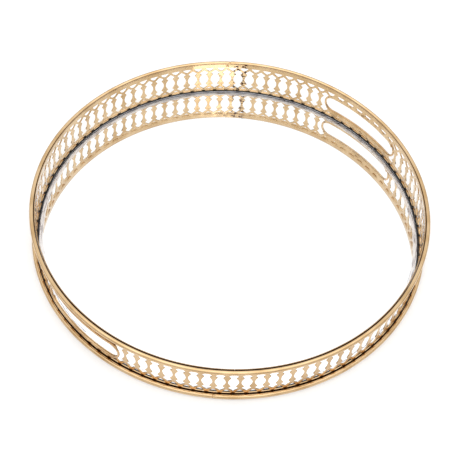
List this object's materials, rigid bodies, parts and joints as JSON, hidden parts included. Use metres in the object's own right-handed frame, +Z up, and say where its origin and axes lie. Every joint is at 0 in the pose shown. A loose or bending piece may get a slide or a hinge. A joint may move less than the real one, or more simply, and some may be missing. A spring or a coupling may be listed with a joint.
{
  "type": "vanity tray",
  "caption": "Round mirrored vanity tray: pierced gallery wall between two wire rims, with two wire-framed hand slots opposite each other.",
  "frame": {"origin": "middle of the base, on the surface the tray stands on", "axes": "+Z up along the tray's axis, +X through the middle of one hand slot"},
  "size_m": [0.33, 0.33, 0.038],
  "materials": {
    "plated_wire": "polished pale gold plating on round wire",
    "plated_sheet": "polished pale gold plating on cut strip",
    "plated_solder": "plated solder, slightly lumpy",
    "black_base": "black enamel",
    "black_felt": "short black felt",
    "foam_tape": "white foam tape",
    "silvering": "silvered",
    "clear_glass": "clear float glass, ground edge",
    "black_gasket": "black sealing strip"
  },
  "bodies": {
    "root": {"top_rim_wire": "plated_wire", "bottom_rim_wire": "plated_wire", "top_rim_weld": "plated_solder", "bottom_rim_weld": "plated_solder", "gallery_wall_right": "plated_sheet", "gallery_wall_left": "plated_sheet", "handle_frame_right": "plated_wire", "handle_frame_left": "plated_wire", "gallery_seam_solder": "plated_solder", "handle_frame_solder": "plated_solder", "base_plate": "black_base", "base_solder_tacks": "plated_solder", "felt_backing": "black_felt", "mirror_tape_pads": "foam_tape", "mirror_silvering": "silvering", "mirror_glass": "clear_glass", "mirror_gasket": "black_gasket"}
  },
  "joints": []
}
